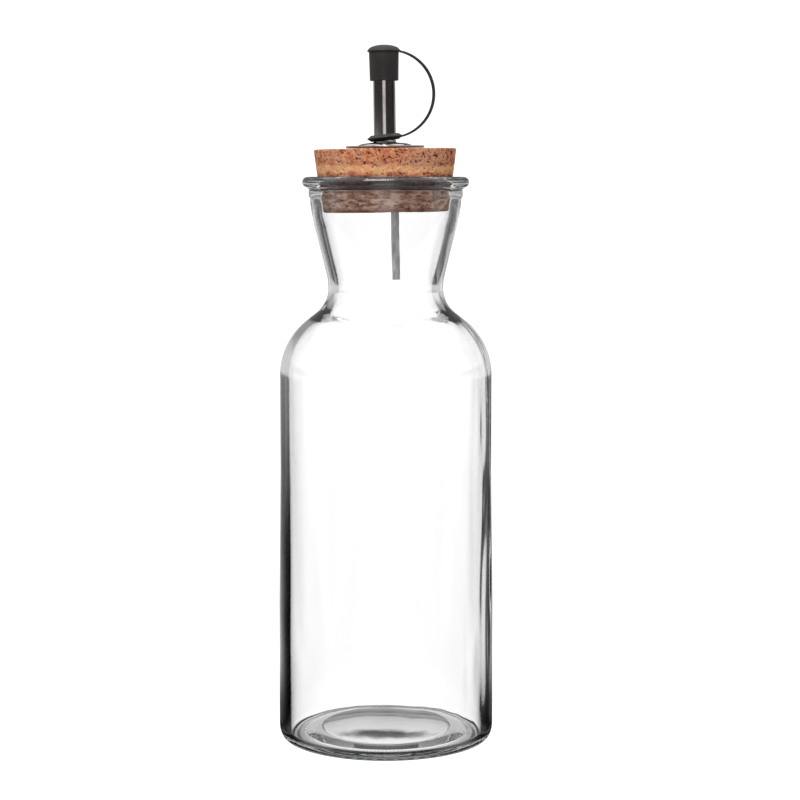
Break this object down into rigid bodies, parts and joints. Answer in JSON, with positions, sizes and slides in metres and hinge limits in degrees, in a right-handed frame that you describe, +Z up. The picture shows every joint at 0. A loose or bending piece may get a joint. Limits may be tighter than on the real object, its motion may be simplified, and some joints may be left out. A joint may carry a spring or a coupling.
{
  "type": "oil bottle",
  "caption": "Clear glass oil bottle with a waisted neck, a tapered cork stopper, a metal pour tube and a tethered rubber cap.",
  "frame": {"origin": "centre of the ring on the underside that the bottle stands on", "axes": "+Z up along the bottle; the cap's strap loops towards +X, and the picture looks along +Y"},
  "size_m": [0.0754, 0.0754, 0.2425],
  "materials": {
    "clear_glass": "clear and glossy",
    "pressed_cork": "matt granulated cork",
    "dark_chrome": "polished, dark",
    "cloudy_plastic": "frosted, grey",
    "black_rubber": "satin"
  },
  "bodies": {
    "root": {"glass_bottle": "clear_glass", "cork_stopper": "pressed_cork", "pourer_spout": "dark_chrome", "vent_tube": "cloudy_plastic", "cap_tether": "black_rubber"}
  },
  "joints": []
}
